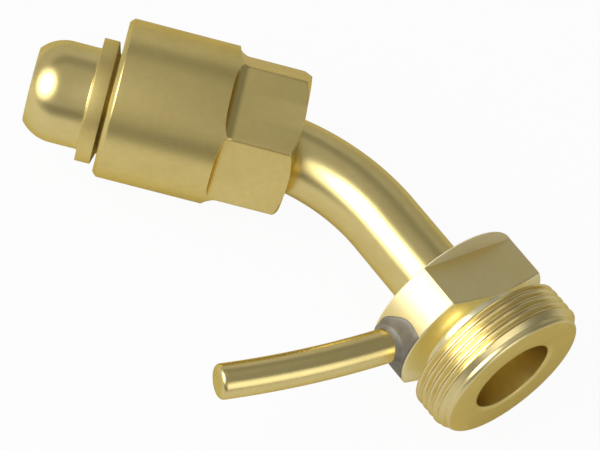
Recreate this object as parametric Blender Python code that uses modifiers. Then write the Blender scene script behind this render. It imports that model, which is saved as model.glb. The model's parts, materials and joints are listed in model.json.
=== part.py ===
"""Brass swivel fitting: a bullet-nosed nipple with a loose union nut, a tube bent through 45 degrees
and a round body with spanner flats and a male thread, with a short curved stay rod brazed to its side.

The fitting lies on its side. The nipple's axis runs along X with the nose at -X, the bend turns
towards -Y, and the axes of the nipple, the body and the rod lie in one level plane.
Sizes are in metres. A turned piece's outline is written in its own frame, with local Z along its
axis and local X straight up.
"""

import math

import bmesh
import bpy
import numpy as np
from mathutils import Matrix, Vector

MM = 0.001
OBJECT_NAME = "bent_swivel_fitting"

# Bent tube
TUBE_OD = 12.7 * MM
TUBE_WALL = 1.25 * MM
BEND_ANGLE = math.radians(45)
BEND_RADIUS = 35.4 * MM
NIPPLE_TO_BEND = 12.4 * MM
BEND_TO_BODY = 15.9 * MM

# Nipple
NOSE_LENGTH = 9.95 * MM
NOSE_RADIUS = 8.7 * MM
NOSE_ROUND_LENGTH = 5.2 * MM
NOSE_TIP_RADIUS = 6.25 * MM
NOSE_BORE_RADIUS = 4.0 * MM
COLLAR_RADIUS = 10.55 * MM
COLLAR_THICKNESS = 2.65 * MM
COLLAR_BACK_SLOPE = math.radians(15.8)
SHANK_RADIUS = 8.6 * MM
SHANK_LENGTH = 11.85 * MM
NIPPLE_SOCKET_DEPTH = 9.0 * MM

# Union nut, and where it lies loose on the tube
NUT_LENGTH = 31.66 * MM
NUT_WALL = 1.6 * MM
NUT_HEX_AF = 23.2 * MM
NUT_HEX_LENGTH = 12.74 * MM
NUT_HEX_CORNER_ANGLE = math.radians(10.6)
NUT_RUN_OUT_RADIUS = 1.5 * MM
NUT_FRONT_CHAMFER = 0.75 * MM
NUT_REAR_CROWN_WIDTH = 0.2 * MM
NUT_CROWN_SLOPE = math.radians(30)
NUT_THREAD_DEPTH = 16.6 * MM
NUT_BEHIND_COLLAR = 0.73 * MM
NUT_REST_OFFSET = 1.3 * MM
NUT_REST_ANGLE = math.radians(38.6)
WASHER_THICKNESS = 0.8 * MM

# Threaded body, measured back from its end face
PILOT_RADIUS = 13.2 * MM
PILOT_LENGTH = 1.05 * MM
PILOT_EASE = 0.3 * MM
THREAD_RADIUS = 14.15 * MM
THREAD_DEPTH = 0.75 * MM
THREAD_PITCH = 1.411 * MM
THREAD_CREST_WIDTH = 0.18 * MM
THREAD_CRESTS = 4
THREAD_LEAD_IN = 0.63 * MM
THREAD_REAR_CHAMFER = 0.35 * MM
GROOVE_DEPTH = 4.3 * MM
GROOVE_LENGTH = 3.59 * MM
BARREL_RADIUS = 14.2 * MM
BARREL_LENGTH = 8.05 * MM
BARREL_EASE = 0.25 * MM
BODY_FLATS = 20.0 * MM
BODY_FLAT_ANGLE = math.radians(-11.5)
BODY_RIM = 0.75 * MM
OUTLET_RADIUS = 7.2 * MM
OUTLET_DEPTH = 9.2 * MM
DRILL_POINT_SLOPE = math.radians(31)
BODY_SOCKET_DEPTH = 8.0 * MM

# Stay rod, measured from the body's axis, and the braze that holds it
ROD_RADIUS = 2.92 * MM
ROD_BEHIND_FRONT = 1.4986133 * MM
ROD_LEAN = math.radians(9.6)
ROD_SEAT = 12.0 * MM
ROD_STRAIGHT_END = 17.2 * MM
ROD_CURVE_RADIUS = 163.5 * MM
ROD_CURVE_LENGTH = 27.85 * MM
ROD_END_ROUND = 0.8 * MM
BRAZE_PAD_RADIUS = 6.3 * MM
BRAZE_PAD_THICKNESS = 0.6 * MM
BRAZE_FILLET = 0.9 * MM
BRAZE_RING_CHAMFER = 0.8 * MM

# Clearances and easing
SEAT_GAP = 0.3 * MM
BRAZE_GAP = 0.15 * MM
NUT_RUN_CLEARANCE = 0.2 * MM
BORE_EASE = 0.4 * MM
COLLAR_EASE = 0.2 * MM
CUT_MARGIN = 3.0 * MM

# Facets
ROUND_STEPS = 64
TUBE_SIDES = 48
ROD_SIDES = 24
BEND_STEPS = 15
ARC_STEPS = 6

# Finishes: colour and roughness
TURNED_BRASS = ((0.47, 0.37, 0.15), 0.36)
POLISHED_BRASS = ((0.52, 0.42, 0.17), 0.2)
SILVER_BRAZE = ((0.30, 0.27, 0.19), 0.6)

# Sizes that follow from the ones above
TUBE_RADIUS = TUBE_OD / 2
TUBE_BORE_RADIUS = TUBE_RADIUS - TUBE_WALL
SOCKET_RADIUS = TUBE_RADIUS + SEAT_GAP
CONE_RISE = math.tan(COLLAR_BACK_SLOPE)
CROWN_RISE = math.tan(NUT_CROWN_SLOPE)
COLLAR_BACK = NOSE_LENGTH + COLLAR_THICKNESS
SHANK_START = COLLAR_BACK + (COLLAR_RADIUS - SHANK_RADIUS) * CONE_RISE
NIPPLE_LENGTH = SHANK_START + SHANK_LENGTH
NUT_FRONT = COLLAR_BACK + NUT_BEHIND_COLLAR
NUT_BORE_RADIUS = COLLAR_RADIUS + NUT_REST_OFFSET + NUT_RUN_CLEARANCE
NUT_RADIUS = NUT_BORE_RADIUS + NUT_WALL
NUT_HOLE_RADIUS = SHANK_RADIUS + NUT_RUN_CLEARANCE
NUT_SHOULDER = NUT_THREAD_DEPTH + (NUT_BORE_RADIUS - NUT_HOLE_RADIUS) * CONE_RISE
NUT_CROWN_RADIUS = NUT_HEX_AF / 2 + NUT_REAR_CROWN_WIDTH
WASHER_STACK = (WASHER_THICKNESS + 2 * SEAT_GAP) / math.cos(COLLAR_BACK_SLOPE)
NUT_TRAVEL = NUT_FRONT + NUT_SHOULDER - SHANK_START - WASHER_STACK
SHANK_END_RADIUS = SHANK_RADIUS - SHANK_LENGTH * NUT_REST_OFFSET / NUT_TRAVEL
BEND_START = NIPPLE_LENGTH + NIPPLE_TO_BEND
THREAD_ROOT_RADIUS = THREAD_RADIUS - THREAD_DEPTH
THREAD_FLANK = (THREAD_PITCH - THREAD_CREST_WIDTH) / 2
LEAD_IN_RADIUS = PILOT_RADIUS + THREAD_LEAD_IN
LEAD_IN_FLANK = (LEAD_IN_RADIUS - THREAD_ROOT_RADIUS) * THREAD_FLANK / THREAD_DEPTH
THREAD_START = PILOT_LENGTH + THREAD_LEAD_IN + LEAD_IN_FLANK
THREAD_END = THREAD_START + THREAD_CRESTS * THREAD_PITCH - THREAD_FLANK
THREAD_LENGTH = THREAD_END + THREAD_REAR_CHAMFER
GROOVE_RADIUS = THREAD_RADIUS - GROOVE_DEPTH
BARREL_FRONT = THREAD_LENGTH + GROOVE_LENGTH
BODY_LENGTH = BARREL_FRONT + BARREL_LENGTH

# Places, with the nose tip at the origin until the part is settled on its underside
UP = Vector((0, 0, 1))
NOSE_AXIS = Vector((-1, 0, 0))
NOSE_TIP = Vector((0, 0, 0))
OUTLET_AXIS = Vector((math.cos(BEND_ANGLE), -math.sin(BEND_ANGLE), 0))
BEND_CENTRE = Vector((BEND_START, -BEND_RADIUS, 0))
BEND_END = BEND_CENTRE + Vector((math.sin(BEND_ANGLE), math.cos(BEND_ANGLE), 0)) * BEND_RADIUS
OUTLET_FACE = BEND_END + OUTLET_AXIS * (BEND_TO_BODY + BODY_LENGTH)
NUT_OFFSET = Vector((0, math.cos(NUT_REST_ANGLE), math.sin(NUT_REST_ANGLE))) * NUT_REST_OFFSET
NUT_FACE = Vector((NUT_FRONT, 0, 0)) + NUT_OFFSET
ROD_ROOT = OUTLET_FACE - OUTLET_AXIS * (BARREL_FRONT + ROD_BEHIND_FRONT)
ROD_AXIS = Matrix.Rotation(-math.pi / 2 - ROD_LEAN, 3, "Z") @ OUTLET_AXIS


def clear_scene():
    """Remove every object, so that the script starts from nothing."""
    for obj in list(bpy.data.objects):
        bpy.data.objects.remove(obj, do_unlink=True)


def new_collection(name):
    """A collection in the scene."""
    collection = bpy.data.collections.new(name)
    bpy.context.scene.collection.children.link(collection)
    return collection


def new_metal(name, look):
    """A metal with its colour and roughness."""
    colour, roughness = look
    metal = bpy.data.materials.new(name)
    metal.use_nodes = True
    shader = metal.node_tree.nodes["Principled BSDF"]
    shader.inputs["Base Color"].default_value = (*colour, 1)
    shader.inputs["Metallic"].default_value = 1
    shader.inputs["Roughness"].default_value = roughness
    return metal


def facing(origin, axis):
    """A placement with local Z along a level axis and local X straight up."""
    z = axis.normalized()
    turn = Matrix((UP, z.cross(UP), z)).transposed().to_4x4()
    return Matrix.Translation(origin) @ turn


class Bench:
    """Where pieces are made: the empty that carries them, and the collections of parts and cutters."""

    def __init__(self):
        self.parts = new_collection(OBJECT_NAME)
        self.cutters = new_collection("cutters")
        self.frame = bpy.data.objects.new("frame", None)
        self.parts.objects.link(self.frame)

    def add(self, name, data, place, metal=None):
        """An object under the frame: a part where it has a metal, otherwise a hidden cutter."""
        obj = bpy.data.objects.new(name, data)
        obj.parent = self.frame
        obj.matrix_basis = place
        if metal:
            data.materials.append(metal)
            self.parts.objects.link(obj)
        else:
            self.cutters.objects.link(obj)
            obj.hide_render = True
            obj.display_type = "WIRE"
        return obj

    def turned(self, name, outline, place, metal=None, bored=True):
        """A turned piece from (radius, z) points: down its outside and, where bored, up its bore."""
        mesh = bpy.data.meshes.new(name)
        corners = [(radius, 0, z) for radius, z in outline]
        edges = [(i, i + 1) for i in range(len(corners) - 1)]
        if bored:
            edges.append((len(corners) - 1, 0))
        mesh.from_pydata(corners, edges, [])
        obj = self.add(name, mesh, place, metal)
        spin = obj.modifiers.new("Spin", "SCREW")
        spin.axis = "Z"
        spin.steps = spin.render_steps = ROUND_STEPS
        spin.use_merge_vertices = True
        spin.merge_threshold = 1e-5
        spin.use_smooth_shade = True
        return obj

    def drawn(self, name, points, radius, sides, place, metal, shares=None):
        """A round bar along points, or its open wall, with an optional share of the radius at each."""
        curve = bpy.data.curves.new(name, "CURVE")
        curve.dimensions = "3D"
        curve.bevel_depth = radius
        curve.bevel_resolution = (sides - 4) // 2
        curve.use_fill_caps = shares is not None
        spline = curve.splines.new("POLY")
        spline.points.add(len(points) - 1)
        for point, where, share in zip(spline.points, points, shares or [1] * len(points)):
            point.co = (*where, 1)
            point.radius = share
        return self.add(name, curve, place, metal)

    def mill_flats(self, obj, across_flats, first_angle, count, low, high, run_out=0):
        """Mill equal flats between two heights; a run-out leaves the cutter's radius at the upper end."""
        depth = max(vertex.co.x for vertex in obj.data.vertices) - across_flats / 2 + CUT_MARGIN
        for number in range(count):
            flat = bmesh.new()
            bmesh.ops.create_cube(flat, size=1)
            bmesh.ops.scale(flat, vec=(depth, 2 * across_flats, high - low), verts=flat.verts)
            middle = ((across_flats + depth) / 2, 0, (high + low) / 2)
            bmesh.ops.translate(flat, vec=middle, verts=flat.verts)
            if run_out:
                corner = [
                    edge for edge in flat.edges
                    if all(v.co.x < middle[0] and v.co.z > middle[2] for v in edge.verts)
                ]
                bmesh.ops.bevel(
                    flat, geom=corner, offset=run_out, segments=ARC_STEPS, profile=0.5, affect="EDGES"
                )
            mesh = bpy.data.meshes.new(f"{obj.name}_flat_{number}")
            flat.to_mesh(mesh)
            flat.free()
            turn = Matrix.Rotation(first_angle + number * math.tau / count, 4, "Z")
            combine(obj, self.add(mesh.name, mesh, obj.matrix_basis @ turn))


def combine(obj, other, operation="DIFFERENCE"):
    """Cut a piece with another, or join them or keep what they share."""
    boolean = obj.modifiers.new(other.name, "BOOLEAN")
    boolean.operation = operation
    boolean.object = other


def arc(centre, radius, start, end):
    """Points (radius, z) of an arc about a centre, between two angles from the axis."""
    angles = np.linspace(start, end, ARC_STEPS + 1)
    return [(centre[0] + radius * math.sin(a), centre[1] + radius * math.cos(a)) for a in angles]


def socket(end, depth):
    """The bore of a tube socket from its mouth, chamfered for a ring of braze, to its bottom."""
    return [
        (SOCKET_RADIUS + BRAZE_RING_CHAMFER, end),
        (SOCKET_RADIUS, end + BRAZE_RING_CHAMFER),
        (SOCKET_RADIUS, end + depth),
    ]


def make_nipple(bench, metal):
    """The nipple: a rounded nose, a collar with a coned back and a shank that tapers to a tube socket.

    The taper lets the nut settle from its loose place on the tube to the nipple's own axis as it
    comes forward.
    """
    rise = NOSE_RADIUS - NOSE_TIP_RADIUS
    round_radius = (NOSE_ROUND_LENGTH**2 + rise**2) / (2 * rise)
    round_centre = (NOSE_RADIUS - round_radius, -NOSE_ROUND_LENGTH)
    outline = [(NOSE_BORE_RADIUS + BORE_EASE, 0)]
    outline += arc(round_centre, round_radius, math.acos(NOSE_ROUND_LENGTH / round_radius), math.pi / 2)
    outline += [
        (NOSE_RADIUS, -NOSE_LENGTH),
        (COLLAR_RADIUS - COLLAR_EASE, -NOSE_LENGTH),
        (COLLAR_RADIUS, -NOSE_LENGTH - COLLAR_EASE),
        (COLLAR_RADIUS, -COLLAR_BACK),
        (SHANK_RADIUS, -SHANK_START),
        (SHANK_END_RADIUS, -NIPPLE_LENGTH),
    ]
    outline += socket(-NIPPLE_LENGTH, NIPPLE_SOCKET_DEPTH)
    outline += [
        (NOSE_BORE_RADIUS, NIPPLE_SOCKET_DEPTH - NIPPLE_LENGTH),
        (NOSE_BORE_RADIUS, -BORE_EASE),
    ]
    return bench.turned("bullet_nipple", outline, facing(NOSE_TIP, NOSE_AXIS), metal)


def make_tube(bench, metal):
    """The tube: straight out of the nipple, round the bend, straight into the body."""
    start = NOSE_TIP - NOSE_AXIS * (NIPPLE_LENGTH - NIPPLE_SOCKET_DEPTH + SEAT_GAP)
    end = BEND_END + OUTLET_AXIS * (BEND_TO_BODY + BODY_SOCKET_DEPTH - SEAT_GAP)
    turns = np.linspace(0, BEND_ANGLE, BEND_STEPS + 1)
    bend = [BEND_CENTRE + Vector((math.sin(t), math.cos(t), 0)) * BEND_RADIUS for t in turns]
    obj = bench.drawn("bent_tube", [start, *bend, end], TUBE_RADIUS, TUBE_SIDES, Matrix(), metal)
    wall = obj.modifiers.new("Wall", "SOLIDIFY")
    wall.thickness = TUBE_WALL
    wall.offset = -1
    wall.use_even_offset = True
    return obj


def make_nut(bench, metal):
    """The union nut: a round front with the thread's bore, and a hexagon milled into its rear."""
    outline = [
        (NUT_BORE_RADIUS + BORE_EASE, 0),
        (NUT_RADIUS - NUT_FRONT_CHAMFER, 0),
        (NUT_RADIUS, -NUT_FRONT_CHAMFER),
        (NUT_RADIUS, (NUT_RADIUS - NUT_CROWN_RADIUS) * CROWN_RISE - NUT_LENGTH),
        (NUT_CROWN_RADIUS, -NUT_LENGTH),
        (NUT_HOLE_RADIUS + BORE_EASE, -NUT_LENGTH),
        (NUT_HOLE_RADIUS, BORE_EASE - NUT_LENGTH),
        (NUT_HOLE_RADIUS, -NUT_SHOULDER),
        (NUT_BORE_RADIUS, -NUT_THREAD_DEPTH),
        (NUT_BORE_RADIUS, -BORE_EASE),
    ]
    obj = bench.turned("swivel_nut", outline, facing(NUT_FACE, NOSE_AXIS), metal)
    bench.mill_flats(
        obj, NUT_HEX_AF, NUT_HEX_CORNER_ANGLE + math.radians(30), 6, -NUT_LENGTH - CUT_MARGIN,
        NUT_HEX_LENGTH - NUT_LENGTH, NUT_RUN_OUT_RADIUS,
    )
    return obj


def make_washer(bench, metal):
    """The thrust washer: a coned ring between the nut's shoulder and the collar's back."""
    inner = NUT_HOLE_RADIUS + NUT_RUN_CLEARANCE
    outer = NUT_BORE_RADIUS - SEAT_GAP
    gap = SEAT_GAP / math.cos(COLLAR_BACK_SLOPE)
    height = WASHER_THICKNESS / math.cos(COLLAR_BACK_SLOPE)
    low = [(r, gap + (r - NUT_HOLE_RADIUS) * CONE_RISE - NUT_SHOULDER) for r in (inner, outer)]
    outline = [(outer, low[1][1] + height), low[1], low[0], (inner, low[0][1] + height)]
    return bench.turned("thrust_washer", outline, facing(NUT_FACE, NOSE_AXIS), metal)


def thread_side():
    """The thread as rings of its own form, each from its root to the far side of its crest."""
    points = []
    for number in range(THREAD_CRESTS):
        root = THREAD_START + number * THREAD_PITCH
        points += [
            (THREAD_ROOT_RADIUS, -root),
            (THREAD_RADIUS, -root - THREAD_FLANK),
            (THREAD_RADIUS, -root - THREAD_FLANK - THREAD_CREST_WIDTH),
        ]
    return points


def barrel_side(radius, ease):
    """The outer side of the body's barrel, with its two edges eased."""
    return [
        (radius - ease, -BARREL_FRONT),
        (radius, -BARREL_FRONT - ease),
        (radius, ease - BODY_LENGTH),
        (radius - ease, -BODY_LENGTH),
    ]


def make_body(bench, metal):
    """The threaded body: its end face, pilot, thread, deep groove, barrel with flats and bore.

    The flats stop short of the barrel's rear end, where they leave a round rim.
    """
    outline = [
        (OUTLET_RADIUS + BORE_EASE, 0),
        (PILOT_RADIUS - PILOT_EASE, 0),
        (PILOT_RADIUS, -PILOT_EASE),
        (PILOT_RADIUS, -PILOT_LENGTH),
        (LEAD_IN_RADIUS, -PILOT_LENGTH - THREAD_LEAD_IN),
        *thread_side(),
        (THREAD_RADIUS - THREAD_REAR_CHAMFER, -THREAD_LENGTH),
        (GROOVE_RADIUS, -THREAD_LENGTH),
        (GROOVE_RADIUS, -BARREL_FRONT),
    ]
    outline += barrel_side(BARREL_RADIUS, BARREL_EASE)
    outline += socket(-BODY_LENGTH, BODY_SOCKET_DEPTH)
    drill_point = (OUTLET_RADIUS - TUBE_BORE_RADIUS) * math.tan(DRILL_POINT_SLOPE)
    outline += [
        (TUBE_BORE_RADIUS, BODY_SOCKET_DEPTH - BODY_LENGTH),
        (TUBE_BORE_RADIUS, -OUTLET_DEPTH - drill_point),
        (OUTLET_RADIUS, -OUTLET_DEPTH),
        (OUTLET_RADIUS, -BORE_EASE),
    ]
    obj = bench.turned("threaded_body", outline, facing(OUTLET_FACE, OUTLET_AXIS), metal)
    bench.mill_flats(
        obj, BODY_FLATS, BODY_FLAT_ANGLE, 2, BODY_RIM - BODY_LENGTH, GROOVE_LENGTH / 2 - BARREL_FRONT
    )
    combine(obj, rod_cylinder(bench, "rod_seat", ROD_RADIUS + SEAT_GAP, ROD_SEAT - SEAT_GAP))
    return obj


def cylinder(bench, name, radius, low, high, place):
    """A solid cylinder between two heights, to cut with."""
    outline = [(0, high), (radius, high), (radius, low), (0, low)]
    return bench.turned(name, outline, place, bored=False)


def rod_cylinder(bench, name, radius, low):
    """A cylinder along the straight root of the rod, from a height to well outside the barrel."""
    return cylinder(bench, name, radius, low, ROD_STRAIGHT_END + CUT_MARGIN, facing(ROD_ROOT, ROD_AXIS))


def make_rod(bench, metal):
    """The stay rod: straight where it is brazed, then a long curve towards the nut, to a rounded end."""
    rounding = np.linspace(0, math.pi / 2, ARC_STEPS + 1)
    ends = ROD_CURVE_LENGTH - ROD_END_ROUND * (1 - np.sin(rounding))
    lengths = np.concatenate((np.linspace(0, ends[0], BEND_STEPS)[:-1], ends))
    turns = lengths / ROD_CURVE_RADIUS
    points = [Vector((0, 0, ROD_SEAT))]
    points += [
        Vector((0, ROD_CURVE_RADIUS * (1 - math.cos(t)), ROD_STRAIGHT_END + ROD_CURVE_RADIUS * math.sin(t)))
        for t in turns
    ]
    shares = [1] * (len(points) - len(rounding))
    shares += list(1 - (1 - np.cos(rounding)) * ROD_END_ROUND / ROD_RADIUS)
    obj = bench.drawn("stay_rod", points, ROD_RADIUS, ROD_SIDES, facing(ROD_ROOT, ROD_AXIS), metal, shares)
    obj.modifiers.new("Caps", "WELD")
    return obj


def make_rod_braze(bench, metal):
    """The braze round the rod: a pad on the barrel and a fillet up the rod."""
    foot = BARREL_RADIUS
    reach = ROD_STRAIGHT_END + CUT_MARGIN
    outline = [(0, reach), (BRAZE_PAD_RADIUS, reach), (BRAZE_PAD_RADIUS, ROD_SEAT), (0, ROD_SEAT)]
    obj = bench.turned("rod_braze", outline, facing(ROD_ROOT, ROD_AXIS), metal, bored=False)
    body = facing(OUTLET_FACE, OUTLET_AXIS)
    side = barrel_side(BARREL_RADIUS + BRAZE_PAD_THICKNESS, BRAZE_PAD_THICKNESS)
    skin = bench.turned("braze_skin", [(0, -BARREL_FRONT), *side, (0, -BODY_LENGTH)], body, bored=False)
    combine(obj, skin, "INTERSECT")
    fillet = [
        (0, foot + BRAZE_FILLET),
        (ROD_RADIUS + BRAZE_FILLET / 3, foot + BRAZE_FILLET),
        (ROD_RADIUS + BRAZE_FILLET / 2, foot + BRAZE_FILLET / 2),
        (ROD_RADIUS + BRAZE_FILLET, foot),
        (ROD_RADIUS + BRAZE_FILLET, ROD_SEAT),
        (0, ROD_SEAT),
    ]
    combine(obj, bench.turned("braze_fillet", fillet, facing(ROD_ROOT, ROD_AXIS), bored=False), "UNION")
    ends = (-BODY_LENGTH - CUT_MARGIN, CUT_MARGIN - BARREL_FRONT)
    combine(obj, cylinder(bench, "braze_bed", BARREL_RADIUS + BRAZE_GAP, *ends, body))
    combine(obj, rod_cylinder(bench, "braze_bore", ROD_RADIUS + BRAZE_GAP, ROD_SEAT - CUT_MARGIN))
    return obj


def make_braze_ring(bench, name, place, metal):
    """The braze in a socket's chamfered mouth, round the tube and flush with the end."""
    inner = TUBE_RADIUS + BRAZE_GAP
    outer = SOCKET_RADIUS + BRAZE_RING_CHAMFER - BRAZE_GAP * math.sqrt(2)
    return bench.turned(name, [(inner, outer - inner), (outer, 0), (inner, 0)], place, metal)


def settle(bench):
    """Move the frame so that the part stands on z = 0 with its box centred over the origin."""
    view = bpy.context.evaluated_depsgraph_get()
    corners = []
    for obj in bench.parts.objects:
        if obj.type == "EMPTY":
            continue
        shown = obj.evaluated_get(view)
        mesh = shown.to_mesh()
        corners += [shown.matrix_world @ vertex.co for vertex in mesh.vertices]
        shown.to_mesh_clear()
    low, high = np.min(corners, axis=0), np.max(corners, axis=0)
    bench.frame.location = (-(low[0] + high[0]) / 2, -(low[1] + high[1]) / 2, -low[2])


def build():
    """Model every piece, then settle the part on its underside."""
    clear_scene()
    bench = Bench()
    turned_brass = new_metal("turned_brass", TURNED_BRASS)
    polished_brass = new_metal("polished_brass", POLISHED_BRASS)
    silver_braze = new_metal("silver_braze", SILVER_BRAZE)
    make_nipple(bench, polished_brass)
    make_tube(bench, polished_brass)
    make_nut(bench, turned_brass)
    make_washer(bench, turned_brass)
    make_body(bench, turned_brass)
    make_rod(bench, polished_brass)
    make_rod_braze(bench, silver_braze)
    nipple_end = facing(NOSE_TIP - NOSE_AXIS * NIPPLE_LENGTH, NOSE_AXIS)
    body_end = facing(OUTLET_FACE - OUTLET_AXIS * BODY_LENGTH, OUTLET_AXIS)
    make_braze_ring(bench, "nipple_braze_ring", nipple_end, silver_braze)
    make_braze_ring(bench, "body_braze_ring", body_end, silver_braze)
    settle(bench)
    bpy.context.view_layer.update()


build()
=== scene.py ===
"""Looks of a brass bent-tube connector with a loose union nut.

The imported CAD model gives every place. A turned piece is a skin of meridians: a row of corners
(radius, height) for every angle round the piece's axis, worked out as whole arrays. Its corners are
eased, so that every machined edge has the small radius that catches the light. The tube and the rod
are circles carried along a path, and the braze is a polar grid laid on the barrel. The washer and
the two braze rings keep their CAD shapes. All sizes are in metres.
"""

from __future__ import annotations

import json
import logging
import math
from dataclasses import dataclass, field
from enum import Enum
from typing import Any

import bmesh
import bpy
import numpy as np
from mathutils import Matrix, Vector


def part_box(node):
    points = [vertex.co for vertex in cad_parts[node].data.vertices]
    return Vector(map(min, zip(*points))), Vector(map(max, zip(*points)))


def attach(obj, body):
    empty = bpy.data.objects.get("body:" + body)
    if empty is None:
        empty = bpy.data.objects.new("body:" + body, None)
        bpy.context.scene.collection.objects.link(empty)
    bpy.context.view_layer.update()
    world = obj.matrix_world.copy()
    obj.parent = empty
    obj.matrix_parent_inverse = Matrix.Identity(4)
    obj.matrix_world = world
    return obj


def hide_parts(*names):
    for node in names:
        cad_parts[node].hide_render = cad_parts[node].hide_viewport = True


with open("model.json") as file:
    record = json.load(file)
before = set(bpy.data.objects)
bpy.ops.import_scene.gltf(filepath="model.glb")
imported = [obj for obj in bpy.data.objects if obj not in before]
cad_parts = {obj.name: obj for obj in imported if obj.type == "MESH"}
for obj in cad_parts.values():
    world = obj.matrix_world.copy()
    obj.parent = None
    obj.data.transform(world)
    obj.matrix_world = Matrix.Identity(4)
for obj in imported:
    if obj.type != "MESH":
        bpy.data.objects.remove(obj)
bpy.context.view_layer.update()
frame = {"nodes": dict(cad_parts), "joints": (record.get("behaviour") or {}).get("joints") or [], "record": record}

MM = 0.001
TAU = 2 * math.pi
SIXTH = math.pi / 3
UP = np.array((0.0, 0.0, 1.0))
PHOTO_WIDTH = 600
UV_MAP = "skin"
MERGE_WITHIN = 2e-7
SHARP_OVER = math.radians(35)
Colour = tuple[float, float, float]
log = logging.getLogger("fitting")


# Shader maths


class Value:
    """A shader socket that takes part in Python arithmetic."""

    def __init__(self, graph: Graph, socket: bpy.types.NodeSocket) -> None:
        """Keep the socket and the graph that it belongs to."""
        self.graph = graph
        self.socket = socket

    def math(self, operation: str, other: Any, clamp: bool = False) -> Value:
        """Add a Math node with this value as its first operand.

        Args:
            operation: The node's operation.
            other: The second operand, a value or a number.
            clamp: Whether the result is held between 0 and 1.

        Returns:
            The node's result.
        """
        settings = {"operation": operation, "use_clamp": clamp}
        return self.graph.add("ShaderNodeMath", settings, self, other)

    def __add__(self, other: Any) -> Value:
        """self + other"""
        return self.math("ADD", other)

    __radd__ = __add__

    def __sub__(self, other: Any) -> Value:
        """self - other"""
        return self.math("SUBTRACT", other)

    def __rsub__(self, other: Any) -> Value:
        """other - self"""
        return self.graph.add("ShaderNodeMath", {"operation": "SUBTRACT"}, other, self)

    def __mul__(self, other: Any) -> Value:
        """self * other"""
        return self.math("MULTIPLY", other)

    __rmul__ = __mul__

    def __truediv__(self, other: Any) -> Value:
        """self / other"""
        return self.math("DIVIDE", other)

    def held(self) -> Value:
        """The value held between 0 and 1."""
        return self.math("ADD", 0.0, clamp=True)

    def between(self, low: float, high: float) -> Value:
        """How far the value has come from low to high, held between 0 and 1."""
        return ((self - low) / (high - low)).held()

    def bump(self, middle: float, reach: float) -> Value:
        """1 at the middle, falling as a parabola to 0 at the reach on both sides."""
        away = (self - middle) / reach
        return (1.0 - away * away).held()


class Graph:
    """A node tree that is being written."""

    def __init__(self, tree: bpy.types.NodeTree) -> None:
        """Start from an empty tree."""
        self.tree = tree
        tree.nodes.clear()

    def feed(self, socket: bpy.types.NodeSocket, given: Any) -> None:
        """Link a socket to a value or another socket, or set it to a number or colour.

        Args:
            socket: The socket to feed.
            given: What feeds it.
        """
        if isinstance(given, Value):
            self.tree.links.new(given.socket, socket)
        elif isinstance(given, bpy.types.NodeSocket):
            self.tree.links.new(given, socket)
        else:
            socket.default_value = given

    def node(
        self, kind: str, settings: dict[str, Any], *sockets: Any, **named: Any
    ) -> bpy.types.Node:
        """Add a node.

        Args:
            kind: The node's type.
            settings: Its properties, set before its sockets.
            sockets: The values or links of its first inputs, in order.
            named: The values or links of inputs by name, with _ for a space.

        Returns:
            The node.
        """
        node = self.tree.nodes.new(kind)
        for key, setting in settings.items():
            setattr(node, key, setting)
        for index, given in enumerate(sockets):
            self.feed(node.inputs[index], given)
        for key, given in named.items():
            self.feed(node.inputs[key.replace("_", " ")], given)
        return node

    def add(self, kind: str, settings: dict[str, Any], *sockets: Any, **named: Any) -> Value:
        """Add a node and take its first output."""
        return Value(self, self.node(kind, settings, *sockets, **named).outputs[0])

    def place(self) -> Value:
        """The place on the piece, in Object coordinates."""
        return Value(self, self.node("ShaderNodeTexCoord", {}).outputs["Object"])

    def parts(self, where: Any) -> tuple[Value, ...]:
        """The three coordinates of a place."""
        split = self.node("ShaderNodeSeparateXYZ", {}, where)
        return tuple(Value(self, output) for output in split.outputs)

    def noise(self, where: Value, scale: float, detail: float, roughness: float) -> Value:
        """Smooth noise between 0 and 1 at a place."""
        return self.add(
            "ShaderNodeTexNoise", {}, Vector=where, Scale=scale, Detail=detail, Roughness=roughness
        )

    def stretched(self, where: Value, factors: tuple[float, float, float]) -> Value:
        """A place with each coordinate multiplied."""
        return self.add("ShaderNodeVectorMath", {"operation": "MULTIPLY"}, where, factors)

    def bumped(self, height: Value) -> Value:
        """The normal of a surface with a height in metres."""
        return self.add("ShaderNodeBump", {}, Strength=1.0, Distance=1.0, Height=height)

    def blend(self, share: Value, first: Colour, second: Colour) -> Value:
        """A colour between two.

        Args:
            share: How far the colour has gone from the first to the second.
            first: The colour at 0.
            second: The colour at 1.

        Returns:
            The colour.
        """
        mix = self.node("ShaderNodeMix", {"data_type": "RGBA"})
        share_input, first_input, second_input = (mix.inputs[i] for i in (0, 6, 7))
        self.feed(share_input, share)
        self.feed(first_input, (*first, 1))
        self.feed(second_input, (*second, 1))
        return Value(self, mix.outputs[2])


def new_material(name: str) -> tuple[bpy.types.Material, Graph]:
    """Make an empty material.

    Args:
        name: Its name.

    Returns:
        The material, and the graph that writes it.
    """
    material = bpy.data.materials.new(name)
    material.use_nodes = True
    return material, Graph(material.node_tree)


# Finishes


class Lay(Enum):
    """Which way a tool's marks run: how far they are drawn out round and along the piece."""

    AROUND = (12.0, 1.0)
    ALONG = (1.0, 12.0)


@dataclass(frozen=True)
class Marks:
    """The marks that a tool left: which way they run, how wide they are and how high."""

    lay: Lay
    size: float
    height: float


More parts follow.
